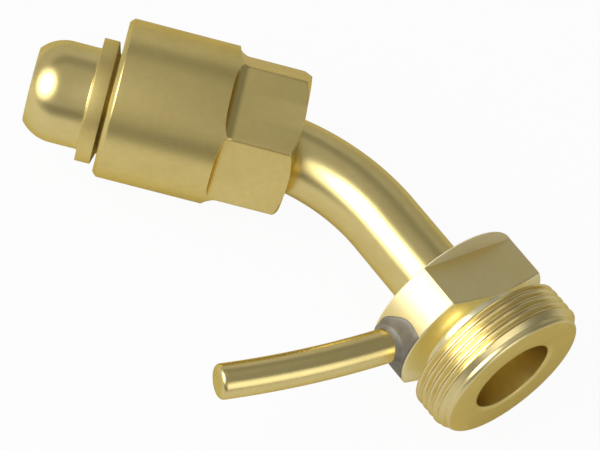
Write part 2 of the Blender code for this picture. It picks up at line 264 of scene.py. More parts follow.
@dataclass(frozen=True)
class Brass:
    """A brass surface: its colour, its stain, its gloss and its tool marks.

    The stain is mostly slow smears, with some specks. The smears and the marks vary the gloss.
    """

    name: str
    colour: Colour
    stain: Colour
    roughness: float
    spread: float
    marks: Marks
    stain_share: float = 0.35
    metal: float = 1.0
    smear_scale: float = 160.0
    smear_share: float = 0.65
    speck_scale: float = 900.0
    stain_range: tuple[float, float] = (0.38, 0.68)
    mark_gloss: float = 0.8
    grazing: Colour = (0.80, 0.68, 0.36)

    def material(self) -> bpy.types.Material:
        """Write the material.

        Tool marks are noise drawn out along the lay on the piece's own UV map, which is in metres.
        Stain and smears are noise on Object coordinates.

        Returns:
            The material.
        """
        material, graph = new_material(self.name)
        around, along = self.marks.lay.value
        skin_place = graph.add("ShaderNodeUVMap", {"uv_map": UV_MAP})
        drawn = graph.stretched(skin_place, (1 / around, 1 / along, 1.0))
        place = graph.place()
        marks = graph.noise(drawn, 1 / self.marks.size, detail=3.0, roughness=0.6)
        smear = graph.noise(place, self.smear_scale, detail=3.0, roughness=0.55)
        speck = graph.noise(place, self.speck_scale, detail=2.0, roughness=0.5)
        cloud = smear * self.smear_share + speck * (1 - self.smear_share)
        stained = cloud.between(*self.stain_range) * self.stain_share
        gloss = (smear - 0.5) * self.spread + (marks - 0.5) * (self.spread * self.mark_gloss)
        shader = graph.node(
            "ShaderNodeBsdfPrincipled", {},
            Base_Color=graph.blend(stained, self.colour, self.stain),
            Metallic=self.metal,
            Roughness=gloss + self.roughness,
            Normal=graph.bumped(marks * self.marks.height),
            Specular_Tint=(*self.grazing, 1),
        )
        graph.node("ShaderNodeOutputMaterial", {}, shader.outputs[0])
        return material


@dataclass(frozen=True)
class SilverBraze:
    """Matt grey braze that has been heated and pickled: mottled, slightly grainy."""

    name: str
    colour: Colour
    bloom: Colour
    roughness: float
    spread: float = 0.15
    metal: float = 0.55
    mottle_scale: float = 420.0
    mottle_height: float = 0.05 * MM
    mottle_range: tuple[float, float] = (0.35, 0.7)
    grain_scale: float = 2600.0
    grain_height: float = 0.008 * MM

    def material(self) -> bpy.types.Material:
        """Write the material from slow mottling and fine grain on Object coordinates.

        Returns:
            The material.
        """
        material, graph = new_material(self.name)
        place = graph.place()
        mottle = graph.noise(place, self.mottle_scale, detail=3.0, roughness=0.6)
        grain = graph.noise(place, self.grain_scale, detail=2.0, roughness=0.6)
        shader = graph.node(
            "ShaderNodeBsdfPrincipled", {},
            Base_Color=graph.blend(mottle.between(*self.mottle_range), self.colour, self.bloom),
            Metallic=self.metal,
            Roughness=(grain - 0.5) * self.spread + self.roughness,
            Normal=graph.bumped(mottle * self.mottle_height + grain * self.grain_height),
        )
        graph.node("ShaderNodeOutputMaterial", {}, shader.outputs[0])
        return material


TURNING = Marks(Lay.AROUND, 0.16 * MM, 0.0016 * MM)
MILLING = Marks(Lay.AROUND, 0.3 * MM, 0.0016 * MM)
DRAWING = Marks(Lay.ALONG, 0.3 * MM, 0.0008 * MM)
FACING = Marks(Lay.AROUND, 0.12 * MM, 0.002 * MM)
BORING = Marks(Lay.AROUND, 0.2 * MM, 0.003 * MM)
COARSE = Marks(Lay.AROUND, 0.3 * MM, 0.002 * MM)

YELLOW = (0.80, 0.645, 0.25)
PALE = (0.84, 0.71, 0.36)
BROWN = (0.62, 0.47, 0.15)

TURNED = Brass("satin_turned_brass", YELLOW, BROWN, 0.30, 0.12, TURNING)
MILLED = Brass("milled_flat_brass", YELLOW, BROWN, 0.30, 0.12, MILLING)
POLISHED = Brass(
    "bright_drawn_brass", (0.81, 0.665, 0.285), BROWN, 0.25, 0.08, DRAWING, stain_share=0.3
)
FACED = Brass("faced_brass", (0.88, 0.75, 0.39), YELLOW, 0.42, 0.1, FACING)
MATT = Brass("matt_turned_brass", YELLOW, BROWN, 0.42, 0.1, FACING)
# Paler than the outer brass, for the bores and sockets in shade: painted bounce light, with real boring marks.
BORED = Brass("deep_bored_brass", (0.88, 0.72, 0.28), BROWN, 0.33, 0.1, BORING)
CHASED = Brass("chased_thread_brass", PALE, YELLOW, 0.30, 0.12, TURNING)
# Lighter, paler brass for the nut's inner hole and thread and for the nipple's collar back and shank, all in
# shade: painted bounce light.
HIDDEN = Brass("bright_inner_brass", (0.98, 0.90, 0.56), PALE, 0.38, 0.1, BORING)
DULL = Brass("dull_milled_brass", (0.80, 0.72, 0.47), PALE, 0.6, 0.1, COARSE, metal=0.25)
# Lighter, paler brass in the deep groove behind the male thread: painted bounce light.
GROOVED = Brass("bright_grooved_brass", (0.99, 0.92, 0.60), PALE, 0.34, 0.1, TURNING)
BRAZE = SilverBraze("grey_silver_braze", (0.19, 0.17, 0.125), (0.27, 0.25, 0.205), 0.55)
Finish = Brass | SilverBraze


def material_of(finish: Finish) -> bpy.types.Material:
    """The finish's material, written the first time that it is asked for."""
    return bpy.data.materials.get(finish.name) or finish.material()


# Surfaces


@dataclass(frozen=True)
class Axis:
    """A level axis: a point on it and its direction."""

    origin: np.ndarray
    along: np.ndarray

    def points(self, radius: np.ndarray, angle: np.ndarray, height: np.ndarray) -> np.ndarray:
        """Places at a radius turned by an angle from straight up, and a height along the axis.

        Args:
            radius: Distances from the axis.
            angle: Angles from straight up, right-handed about the axis.
            height: Distances along the axis.

        Returns:
            An array with a last dimension of 3.
        """
        side = np.cross(self.along, UP)
        spoke = np.cos(angle)[..., None] * UP + np.sin(angle)[..., None] * side
        return self.origin + radius[..., None] * spoke + height[..., None] * self.along


def skin(
    name: str,
    grid: np.ndarray,
    uv: np.ndarray,
    zones: np.ndarray,
    finishes: list[Finish],
    ring: bool = True,
) -> bpy.types.Object:
    """Make a closed mesh from a grid of points that closes on itself round the piece.

    Faces join each point to the next column and the next row. Rows that shrink to a point are
    merged. The faces are turned if the volume that they hold comes out negative.

    Args:
        name: The piece's name.
        grid: Points, rows by columns by 3.
        uv: Distances round and along the skin, rows by columns by 2.
        zones: Which finish each row of faces has.
        finishes: The finishes.
        ring: Whether the last row joins the first.

    Returns:
        The object, at the origin.
    """
    rows, columns = grid.shape[:2]
    low = np.arange(rows if ring else rows - 1)[:, None]
    left = np.arange(columns)[None, :]
    high, right = (low + 1) % rows, (left + 1) % columns
    square = [r * columns + c for r, c in ((low, left), (low, right), (high, right), (high, left))]
    faces = np.stack(np.broadcast_arrays(*square), -1).reshape(-1, 4)
    points = grid.reshape(-1, 3)
    a, b, c, d = (points[faces[:, i]] - points.mean(0) for i in range(4))
    volume = np.einsum("ij,ij->", np.cross(a, b), c) + np.einsum("ij,ij->", np.cross(a, c), d)

    past = uv[:, -1:, 0] + (uv[:, -1:, 0] - uv[:, -2:-1, 0])
    wide = np.concatenate((uv, np.stack((past, uv[:, -1:, 1]), -1)), 1)
    square = ((low, left), (low, left + 1), (high, left + 1), (high, left))
    corners = np.stack([wide[r, c] for r, c in square], 2).reshape(-1, 4, 2)
    if volume < 0:
        faces, corners = faces[:, ::-1], corners[:, ::-1]

    mesh = bpy.data.meshes.new(name)
    mesh.from_pydata(points.tolist(), [], faces.tolist())
    mesh.uv_layers.new(name=UV_MAP).data.foreach_set("uv", corners.reshape(-1).astype(np.float32))
    finish_of_face = np.repeat(zones[: len(low)], columns).astype(np.int32)
    mesh.polygons.foreach_set("material_index", finish_of_face)
    for finish in finishes:
        mesh.materials.append(material_of(finish))
    tidy(mesh)
    obj = bpy.data.objects.new(name, mesh)
    bpy.context.scene.collection.objects.link(obj)
    return obj


def tidy(mesh: bpy.types.Mesh) -> None:
    """Merge points that coincide, smooth the faces and keep steep edges sharp.

    Args:
        mesh: The mesh to change.
    """
    work = bmesh.new()
    work.from_mesh(mesh)
    bmesh.ops.remove_doubles(work, verts=work.verts, dist=MERGE_WITHIN)
    work.to_mesh(mesh)
    work.free()
    mesh.polygons.foreach_set("use_smooth", np.ones(len(mesh.polygons), bool))
    mesh.set_sharp_from_angle(angle=SHARP_OVER)


@dataclass
class Meridians:
    """Corners of a closed section at every angle round an axis, with a finish after each corner."""

    angles: np.ndarray
    radius: list[np.ndarray] = field(default_factory=list)
    height: list[np.ndarray] = field(default_factory=list)
    easing: list[float] = field(default_factory=list)
    finish: list[Finish] = field(default_factory=list)
    longest_easing: float = 0.45
    shortest_run: float = 1e-9

    def to(self, radius: Any, height: Any, finish: Finish, easing: float = 0.0) -> Meridians:
        """Carry the section to a corner.

        Args:
            radius: The corner's radius, one number or one for each angle.
            height: The corner's height, in the same way.
            finish: The finish of the faces after this corner.
            easing: How far from the corner its rounding starts.

        Returns:
            This section.
        """
        self.radius.append(np.broadcast_to(np.asarray(radius, float), self.angles.shape))
        self.height.append(np.broadcast_to(np.asarray(height, float), self.angles.shape))
        self.easing.append(easing)
        self.finish.append(finish)
        return self

    def rows(self, radius: np.ndarray, height: np.ndarray, finish: Finish) -> Meridians:
        """Carry the section through many rows that need no easing.

        Args:
            radius: Radii, rows by angles or rows by 1.
            height: Heights, in the same way.
            finish: The finish of the faces after these rows.

        Returns:
            This section.
        """
        for r, h in zip(radius, np.broadcast_to(height, radius.shape)):
            self.to(r, h, finish)
        return self

    def make(
        self, name: str, axis: Axis, finishes: list[Finish], steps: int = 4
    ) -> bpy.types.Object:
        """Ease the corners and make the piece.

        An eased corner P becomes the quadratic curve from A, on the way in, to B, on the way out:
        (1-t)^2 A + 2t(1-t) P + t^2 B. A and B go no further from P than a share of the shorter of
        the two runs.

        Args:
            name: The piece's name.
            axis: The piece's axis.
            finishes: The finishes that the section uses, in the order of the piece's materials.
            steps: How many faces go round an eased corner.

        Returns:
            The object.
        """
        corner = np.stack((np.array(self.radius), np.array(self.height)), -1)
        easing = np.array(self.easing)
        back, on = corner - np.roll(corner, 1, 0), np.roll(corner, -1, 0) - corner
        run_in, run_out = (np.linalg.norm(v, axis=-1, keepdims=True) for v in (back, on))
        cut = np.minimum(easing[:, None, None], self.longest_easing * np.minimum(run_in, run_out))
        start = corner - back / np.maximum(run_in, self.shortest_run) * cut
        end = corner + on / np.maximum(run_out, self.shortest_run) * cut
        t = np.linspace(0, 1, steps + 1)[None, :, None, None]
        leave, bend, arrive = (1 - t) ** 2, 2 * t * (1 - t), t**2
        curve = leave * start[:, None] + bend * corner[:, None] + arrive * end[:, None]
        keep = np.ones((len(easing), steps + 1), bool)
        keep[easing == 0, 1:] = False
        section = curve[keep]

        zone = np.array([finishes.index(finish) for finish in self.finish])
        first_half = np.arange(steps + 1) < (steps + 1) // 2
        from_before = first_half & (easing > 0)[:, None]
        zones = np.where(from_before, np.roll(zone, 1)[:, None], zone[:, None])[keep]

        length = np.linalg.norm(np.diff(section, axis=0), axis=-1).mean(1)
        run = np.concatenate(((0.0,), np.cumsum(length)))
        widest = section[..., 0].mean(1).max()
        uv = np.stack(np.broadcast_arrays(self.angles * widest, run[:, None]), -1)
        angles = np.broadcast_to(self.angles, section.shape[:2])
        grid = axis.points(section[..., 0], angles, section[..., 1])
        return skin(name, grid, uv, zones, finishes)


def even_angles(columns: int) -> np.ndarray:
    """Angles spread evenly round an axis, from straight down so that a seam is hidden."""
    return math.pi + np.arange(columns) * TAU / columns


def spokes(angles: np.ndarray, across: np.ndarray) -> np.ndarray:
    """Spokes of the circles on a level path: cos(angle) up plus sin(angle) across the path."""
    return np.cos(angles)[None, :, None] * UP + np.sin(angles)[None, :, None] * across[:, None]


def hexagon_angles(corner: float, columns: int, ease: float) -> np.ndarray:
    """Angles round a hexagon, with two columns at every corner's easing.

    Args:
        corner: The angle of one corner.
        columns: How many columns cross each flat.
        ease: Half the angle that a corner's easing spans.

    Returns:
        The angles, in order.
    """
    flat = np.linspace(ease, SIXTH - ease, columns)
    return (corner + SIXTH * np.arange(6)[:, None] + flat[None, :]).reshape(-1)


def hexagon_cosine(angles: np.ndarray, corner: float, ease: float) -> np.ndarray:
    """The cosine of the angle from the nearest flat's middle, held short of an eased corner."""
    from_middle = np.abs((angles - corner) % SIXTH - SIXTH / 2)
    return np.cos(np.minimum(from_middle, SIXTH / 2 - ease))


def thread_depth(height: np.ndarray, angle: np.ndarray, pitch: float) -> np.ndarray:
    """The share of a V thread's depth: 0 on the crest and 1 at the root.

    The phase is height / pitch - angle / tau. Its distance from a crest rises evenly over the
    flank, with a short flat at the crest and a longer one at the root, and a smooth step rounds
    both.

    Args:
        height: Heights of the rows.
        angle: Angles of the columns.
        pitch: The distance between crests.

    Returns:
        An array of rows by columns.
    """
    crest, flank, rounding = 0.14, 0.66, 0.35
    phase = (height[:, None] / pitch - angle[None, :] / TAU) % 1.0
    from_crest = 1 - np.abs(2 * phase - 1)
    share = np.clip((from_crest - crest) / flank, 0, 1)
    smooth = share * share * (3 - 2 * share)
    return share + rounding * (smooth - share)


# Pieces


class Piece:
    """A piece that stands for a CAD node and rides on its body."""

    def fit(self, obj: bpy.types.Object, node: str, body: str, slot: str) -> None:
        """Tie a made object to the frame.

        Args:
            obj: The object.
            node: The CAD node that it replaces.
            body: The body that carries it.
            slot: The record's material slot; not used.
        """
        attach(obj, body)
        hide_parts(node)
        log.info("%s: %d faces, on %s", obj.name, len(obj.data.polygons), body)


@dataclass
class Nipple(Piece):
    """The bullet nose, its collar and its shank."""

    axis: Axis
    nose_length: float = 9.95 * MM
    nose_radius: float = 8.7 * MM
    nose_ease: float = 0.3 * MM
    nose_rows: int = 24
    round_length: float = 5.2 * MM
    tip_radius: float = 6.25 * MM
    tip_ease: float = 0.45 * MM
    bore: float = 4.0 * MM
    mouth: float = 0.4 * MM
    mouth_ease: float = 0.15 * MM
    collar_radius: float = 10.55 * MM
    collar_back: float = 12.6 * MM
    collar_ease: float = 0.16 * MM
    shank_radius: float = 8.6 * MM
    shank_start: float = 13.15 * MM
    length: float = 25.0 * MM
    end_radius: float = 7.66 * MM
    ease: float = 0.1 * MM
    socket: float = 6.4 * MM
    socket_start: float = 16.0 * MM
    columns: int = 192

    def build(self) -> None:
        """Carry one section round. The nose is an arc that meets its cylinder without a corner."""
        rise = self.nose_radius - self.tip_radius
        arc = (self.round_length**2 + rise**2) / (2 * rise)
        turn = np.linspace(math.acos(self.round_length / arc), math.pi / 2, self.nose_rows)[1:]
        section = Meridians(even_angles(self.columns))
        section.to(self.bore + self.mouth, 0, POLISHED, self.mouth_ease)
        section.to(self.tip_radius, 0, POLISHED, self.tip_ease)
        radius = self.nose_radius - arc + arc * np.sin(turn)
        height = -self.round_length + arc * np.cos(turn)
        section.rows(radius[:, None], height[:, None], POLISHED)
        section.to(self.nose_radius, -self.nose_length, MATT, self.nose_ease)
        section.to(self.collar_radius, -self.nose_length, MATT, self.collar_ease)
        # The collar's back and the shank, in the shade inside the nut, get painted bounce light.
        section.to(self.collar_radius, -self.collar_back, HIDDEN, self.collar_ease)
        section.to(self.shank_radius, -self.shank_start, HIDDEN, self.ease)
        # The nipple's rear end, socket and bore get painted bounce light.
        section.to(self.end_radius, -self.length, BORED, self.ease)
        section.to(self.socket, -self.length, BORED)
        section.to(self.socket, -self.socket_start, BORED)
        section.to(self.bore, -self.socket_start, BORED)
        section.to(self.bore, -self.mouth, BORED, self.ease)
        obj = section.make("nipple", self.axis, [POLISHED, MATT, BORED, HIDDEN])
        self.fit(obj, "bullet_nipple", "fitting", "polished_brass")


@dataclass
class UnionNut(Piece):
    """The loose nut: a turned front with a threaded bore, and a hexagon milled into its rear."""

    axis: Axis
    length: float = 31.66 * MM
    radius: float = 13.65 * MM
    front_chamfer: float = 0.75 * MM
    front_ease: float = 0.2 * MM
    across_flats: float = 23.2 * MM
    hexagon_length: float = 12.74 * MM
    corner: float = math.radians(10.6)
    corner_ease: float = math.radians(0.5)
    run_out: float = 2.2 * MM
    run_out_rows: int = 16
    crown_radius: float = 11.8 * MM
    crown_slope: float = math.tan(math.radians(30))
    crown_ease: float = 0.12 * MM
    edge_ease: float = 0.08 * MM
    bore: float = 12.05 * MM
    hole: float = 8.8 * MM
    mouth: float = 0.4 * MM
    mouth_ease: float = 0.1 * MM
    shoulder: float = 17.52 * MM
    pitch: float = 1.814 * MM
    pitch_rows: int = 12
    thread_cut: float = 0.65 * MM
    thread_end: float = 16.6 * MM
    thread_first_row: float = 0.3 * MM
    thread_last_row: float = 0.45 * MM
    thread_fade: float = 0.4 * MM
    columns: int = 36

    def build(self) -> None:
        """Carry the section round.

        On each meridian the cutter leaves the round at a depth of radius * cos(angle) - half the
        flats, measured square to the flat, and comes down to the flat along an arc of the run-out's
        radius, which is larger than the deepest cut.
        """
        angles = hexagon_angles(self.corner, self.columns, self.corner_ease)
        cosine = hexagon_cosine(angles, self.corner, self.corner_ease)
        flat = self.across_flats / 2
        sweep = np.arccos(1 - (self.radius * cosine - flat) / self.run_out)
        turn = np.linspace(1, 0, self.run_out_rows)[:, None] * sweep
        left = self.run_out * (1 - np.cos(turn))
        start = self.hexagon_length - self.length - self.run_out
        rise = start + self.run_out * np.sin(turn)
        crown = (flat / cosine - self.crown_radius) * self.crown_slope
        section = Meridians(angles)
        section.to(self.bore + self.mouth, 0, TURNED, self.edge_ease)
        section.to(self.radius - self.front_chamfer, 0, TURNED, self.front_ease)
        section.to(self.radius, -self.front_chamfer, TURNED, self.front_ease)
        section.to(self.radius, rise[0], MILLED, self.edge_ease)
        section.rows((flat + left[1:]) / cosine, rise[1:], MILLED)
        section.to(flat / cosine, crown - self.length, MILLED, self.crown_ease)
        section.to(self.crown_radius, -self.length, TURNED, self.crown_ease)
        # The nut's inner hole and thread get painted bounce light.
        section.to(self.hole + self.mouth, -self.length, HIDDEN, self.mouth_ease)
        section.to(self.hole, self.mouth - self.length, HIDDEN, self.mouth_ease)
        section.to(self.hole, -self.shoulder, HIDDEN)
        section.to(self.bore, -self.thread_end, HIDDEN)
        first, last = self.thread_first_row - self.thread_end, -self.thread_last_row
        height = np.arange(first, last, self.pitch / self.pitch_rows)
        ends = np.clip((height + self.thread_end - self.thread_fade) / self.pitch, 0, 1)[:, None]
        cut = 1 - thread_depth(height, angles, self.pitch)
        section.rows(self.bore + self.thread_cut * cut * ends, height[:, None], HIDDEN)
        section.to(self.bore, -self.mouth, TURNED)
        obj = section.make("union_nut", self.axis, [TURNED, MILLED, HIDDEN])
        self.fit(obj, "swivel_nut", "nut", "turned_brass")


@dataclass
class ThreadedBody(Piece):
    """The body: end face, pilot, male thread, deep groove, barrel with two flats, and bore."""

    axis: Axis
    face_ease: float = 0.3 * MM
    pilot_radius: float = 13.2 * MM
    pilot_length: float = 1.05 * MM
    pilot_edge: float = 0.42 * MM
    pilot_ease: float = 0.28 * MM
    thread_radius: float = 14.15 * MM
    thread_length: float = 7.5 * MM
    thread_end_radius: float = 13.95 * MM
    thread_first_row: float = 1.0 * MM
    thread_last_row: float = 0.02 * MM
    pitch: float = 1.411 * MM
    pitch_rows: int = 20
    first_crest: float = 0.43 * MM
    thread_cut: float = 0.62 * MM
    land: float = 0.5 * MM
    groove_radius: float = 9.85 * MM
    groove_ease: float = 0.3 * MM
    barrel_front: float = 11.0 * MM
    barrel_radius: float = 14.2 * MM
    front_slope: float = math.tan(math.radians(14))
    length: float = 19.05 * MM
    flat: float = 10.0 * MM
    flat_angle: float = math.radians(-11.5)
    rim: float = 0.2 * MM
    rim_foot_ease: float = 0.15 * MM
    edge_ease: float = 0.1 * MM
    outlet: float = 7.2 * MM
    outlet_depth: float = 9.2 * MM
    mouth: float = 0.8 * MM
    mouth_depth: float = 0.2 * MM
    mouth_ease: float = 0.2 * MM
    throat: float = 5.1 * MM
    throat_slope: float = math.tan(math.radians(31))
    tube: float = 6.37 * MM
    tube_depth: float = 7.7 * MM
    columns: int = 240

    def angles(self) -> np.ndarray:
        """Angles round the body, with columns close to each end of the two flats' chords.

        Returns:
            The angles, in order.
        """
        half = math.acos(self.flat / self.barrel_radius)
        ends = self.flat_angle + np.array((-half, half, math.pi - half, math.pi + half))
        close = np.radians((-1.0, -0.5, -0.2, 0.2, 0.5, 1.0))
        clear = math.radians(1.2)
        near = (ends[:, None] + close).reshape(-1) % TAU
        even = np.arange(self.columns) * TAU / self.columns
        gap = np.abs((even[:, None] - ends + math.pi) % TAU - math.pi).min(1)
        return np.sort(np.concatenate((even[gap > clear], near)))

    def barrel(self, angles: np.ndarray) -> np.ndarray:
        """The barrel's radius: over a flat, its distance / the cosine of the angle from its middle.

        Args:
            angles: Angles round the body.

        Returns:
            The radii.
        """
        least_cosine = 0.1
        cosine = np.maximum(np.abs(np.cos(angles - self.flat_angle)), least_cosine)
        return np.minimum(self.barrel_radius, self.flat / cosine)

    def thread(self, height: np.ndarray, angles: np.ndarray) -> np.ndarray:
        """The thread's radius.

        It is the least of the helix, whose cut fades to a plain land at the rear, the cone behind
        the pilot and the cone at the rear.

        Args:
            height: Heights of the rows.
            angles: Angles of the columns.

        Returns:
            An array of rows by columns.
        """
        fade = np.clip((height + self.thread_length) / self.land, 0, 1)[:, None]
        depth = thread_depth(height + self.first_crest, angles, self.pitch)
        helix = self.thread_radius - self.thread_cut * fade * depth
        front = self.pilot_radius + np.maximum(-height - self.pilot_length, 0)
        back = self.thread_end_radius + height + self.thread_length
        return np.minimum(helix, np.minimum(front, back)[:, None])

    def build(self) -> None:
        """Carry the section round.

        The groove's rear wall leans forwards towards its foot, by its depth times the front's
        slope. A flat ends at the foot of a thin round rim.
        """
        angles = self.angles()
        barrel = self.barrel(angles)
        last_row = self.thread_length - self.thread_last_row
        height = -np.arange(self.thread_first_row, last_row, self.pitch / self.pitch_rows)
        foot = (self.barrel_radius - self.groove_radius) * self.front_slope - self.barrel_front
        front = (self.barrel_radius - barrel) * self.front_slope - self.barrel_front
        cone = (self.outlet - self.throat) * self.throat_slope
        section = Meridians(angles)
        section.to(self.outlet + self.mouth, 0, MATT, self.face_ease)
        section.to(self.pilot_radius - self.pilot_edge, 0, CHASED, self.pilot_ease)
        section.to(self.pilot_radius, -self.pilot_edge, CHASED, self.pilot_ease)
        section.rows(self.thread(height, angles), height[:, None], CHASED)
        # The groove behind the thread gets painted bounce light.
        section.to(self.thread_end_radius, -self.thread_length, GROOVED, self.edge_ease)
        section.to(self.groove_radius, -self.thread_length, GROOVED, self.groove_ease)
        section.to(self.groove_radius, foot, GROOVED, self.groove_ease)
        section.to(barrel, front, FACED, self.groove_ease)
        section.to(barrel, self.rim - self.length, DULL, self.rim_foot_ease)
        section.to(self.barrel_radius, self.rim - self.length, DULL)
        section.to(self.barrel_radius, -self.length, CHASED, self.edge_ease)
        # The body's tube socket, throat and outlet get painted bounce light.
        section.to(self.tube, -self.length, BORED)
        section.to(self.tube, self.tube_depth - self.length, BORED)
        section.to(self.throat, self.tube_depth - self.length, BORED)
        section.to(self.throat, -self.outlet_depth - cone, BORED, self.edge_ease)
        section.to(self.outlet, -self.outlet_depth, BORED, self.edge_ease)
        section.to(self.outlet, -self.mouth_depth, BORED, self.mouth_ease)
        finishes = [CHASED, MATT, FACED, BORED, GROOVED, DULL]
        obj = section.make("male_body", self.axis, finishes)
        self.fit(obj, "threaded_body", "fitting", "turned_brass")


@dataclass
class BentTube(Piece):
    """The tube, straight at both ends, with a circular bend between."""

    nose: Axis
    outlet: Axis
    radius: float = 6.35 * MM
    bore: float = 5.1 * MM
    start: float = 16.3 * MM
    bend: float = math.pi / 4
    bend_start: float = 37.4 * MM
    bend_radius: float = 35.4 * MM
    end: float = 11.35 * MM
    bend_rows: int = 60
    straight_rows: int = 14
    columns: int = 128
    bore_uv: float = 1.0

    def build(self) -> None:
        """Carry the outer circle along the path and the bore's circle back, and close the ring."""
        turn = np.linspace(0, self.bend, self.bend_rows)
        way_in = np.linspace(self.start, self.bend_start, self.straight_rows)[:-1]
        bend_end = self.bend_start + self.bend_radius * math.sin(self.bend)
        face = self.outlet.origin - self.nose.origin
        leg = (face[0] - bend_end) / self.outlet.along[0] - self.end
        way_out = np.linspace(0, leg, self.straight_rows)[1:]
        curve = self.bend_start + self.bend_radius * np.sin(turn)
        fall = self.bend_radius * (1 - np.cos(turn))
        x = np.concatenate((way_in, curve, bend_end + way_out * self.outlet.along[0]))
        y = -np.concatenate((0 * way_in, fall, fall[-1] - way_out * self.outlet.along[1]))
        slope = np.concatenate((0 * way_in, turn, 0 * way_out + self.bend))
        centre = self.nose.origin + np.stack((x, y, 0 * x), -1)
        across = np.stack((np.sin(slope), np.cos(slope), 0 * slope), -1)
        angles = even_angles(self.columns)
        spoke = spokes(angles, across)
        outer = centre[:, None] + self.radius * spoke
        inner = (centre[:, None] + self.bore * spoke)[::-1]
        run = np.concatenate(((0.0,), np.cumsum(np.linalg.norm(np.diff(centre, axis=0), axis=-1))))
        run = np.concatenate((run, run[::-1] + self.bore_uv))
        uv = np.stack(np.broadcast_arrays(angles * self.radius, run[:, None]), -1)
        zones = np.repeat((0, 1), len(x))
        # The tube's bore gets painted bounce light.
        obj = skin("tube", np.concatenate((outer, inner)), uv, zones, [POLISHED, BORED])
        self.fit(obj, "bent_tube", "fitting", "polished_brass")


@dataclass
class StayRod(Piece):
    """The curved rod with its rounded end."""

    body: Axis
    radius: float = 2.88 * MM
    from_face: float = 12.5 * MM
    lean: float = math.radians(9.6)
    seat: float = 12.0 * MM
    straight_end: float = 17.2 * MM
    curve_radius: float = 163.5 * MM
    curve_length: float = 27.75 * MM
    end_round: float = 0.8 * MM
    end_share: float = 0.3
    end_rows: int = 10
    curve_rows: int = 49
    columns: int = 72

    def root(self) -> Axis:
        """The axis of the rod's straight root, from the body's own axis outwards.

        Returns:
            The axis.
        """
        out = np.cross(self.body.along, UP)
        along = math.cos(self.lean) * out - math.sin(self.lean) * self.body.along
        return Axis(self.body.origin - self.from_face * self.body.along, along)

    def build(self) -> None:
        """Carry a circle along the path, drawn in round a quarter circle at the free end.

        The way is measured from where the curve starts, so it is less than 0 at the root. The first
        row is the middle of the root's end, and the last two close the free end.
        """
        root = self.root()
        side = np.cross(root.along, UP)
        quarter = np.linspace(0, math.pi / 2, self.end_rows)
        last = self.curve_length - self.end_round * (1 - np.sin(quarter))
        drawn_in = 1 - (1 - np.cos(quarter)) * self.end_round / self.radius
        curve = np.linspace(0, last[0], self.curve_rows + 1)[:-1]
        seat = self.seat - self.straight_end
        way = np.concatenate(((seat, seat), curve, last, last[-1:], last[-1:]))
        end = (self.end_share, 0.0)
        share = np.concatenate(((0.0, 1.0), np.ones(self.curve_rows), drawn_in, end))
        turn = np.maximum(way, 0) / self.curve_radius
        sway = self.curve_radius * (1 - np.cos(turn))
        reach = self.straight_end + np.minimum(way, 0) + self.curve_radius * np.sin(turn)
        centre = root.origin + reach[:, None] * root.along + sway[:, None] * side
        across = np.cos(turn)[:, None] * side - np.sin(turn)[:, None] * root.along
        angles = even_angles(self.columns)
        grid = centre[:, None] + (self.radius * share)[:, None, None] * spokes(angles, across)
        uv = np.stack(np.broadcast_arrays(angles * self.radius, reach[:, None]), -1)
        obj = skin("rod", grid, uv, np.zeros(len(grid), int), [POLISHED], ring=False)
        self.fit(obj, "stay_rod", "fitting", "polished_brass")


